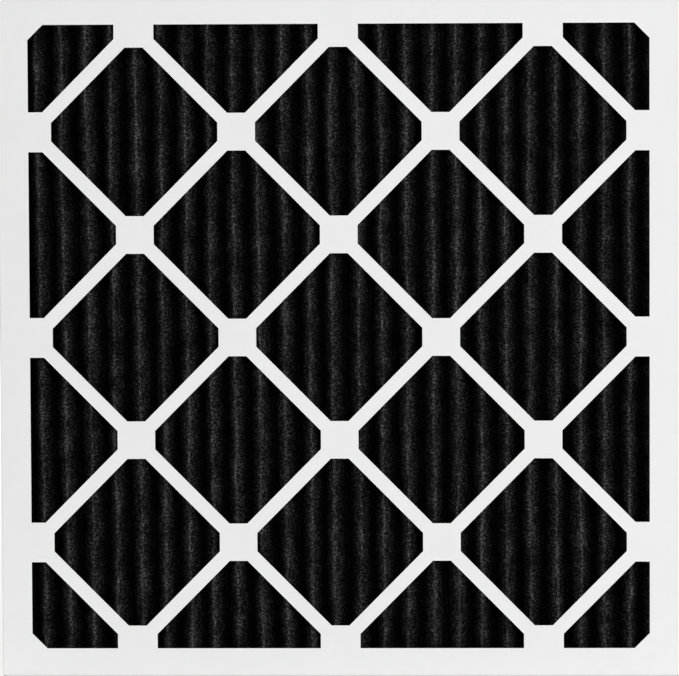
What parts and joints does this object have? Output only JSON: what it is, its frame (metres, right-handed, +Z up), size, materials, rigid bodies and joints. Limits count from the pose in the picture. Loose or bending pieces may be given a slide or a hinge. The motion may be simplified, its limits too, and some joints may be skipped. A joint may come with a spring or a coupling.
{
  "type": "pleated panel air filter",
  "caption": "Flat square panel air filter: dark pleated media held between two nested white card trays whose faces are die-cut to a diamond lattice.",
  "frame": {"origin": "middle of the bottom edge, halfway through the thickness, at the lowest point of the upright panel", "axes": "+X across the face to the right as seen from the front, +Y through the panel from the front (air-entering) face to the rear, +Z up along the pleats"},
  "size_m": [0.4946, 0.019, 0.4965],
  "materials": {
    "front_board": "matt white clay-coated board with brown kraft inside and cut edges",
    "rear_board": "matt white clay-coated board with brown kraft inside and cut edges",
    "media": "black carbon-loaded nonwoven, matt and fibrous",
    "adhesive": "dried cream adhesive"
  },
  "bodies": {
    "root": {"front_frame": "front_board", "rear_frame": "rear_board", "pleated_media": "media", "edge_seal": "adhesive"}
  },
  "joints": []
}
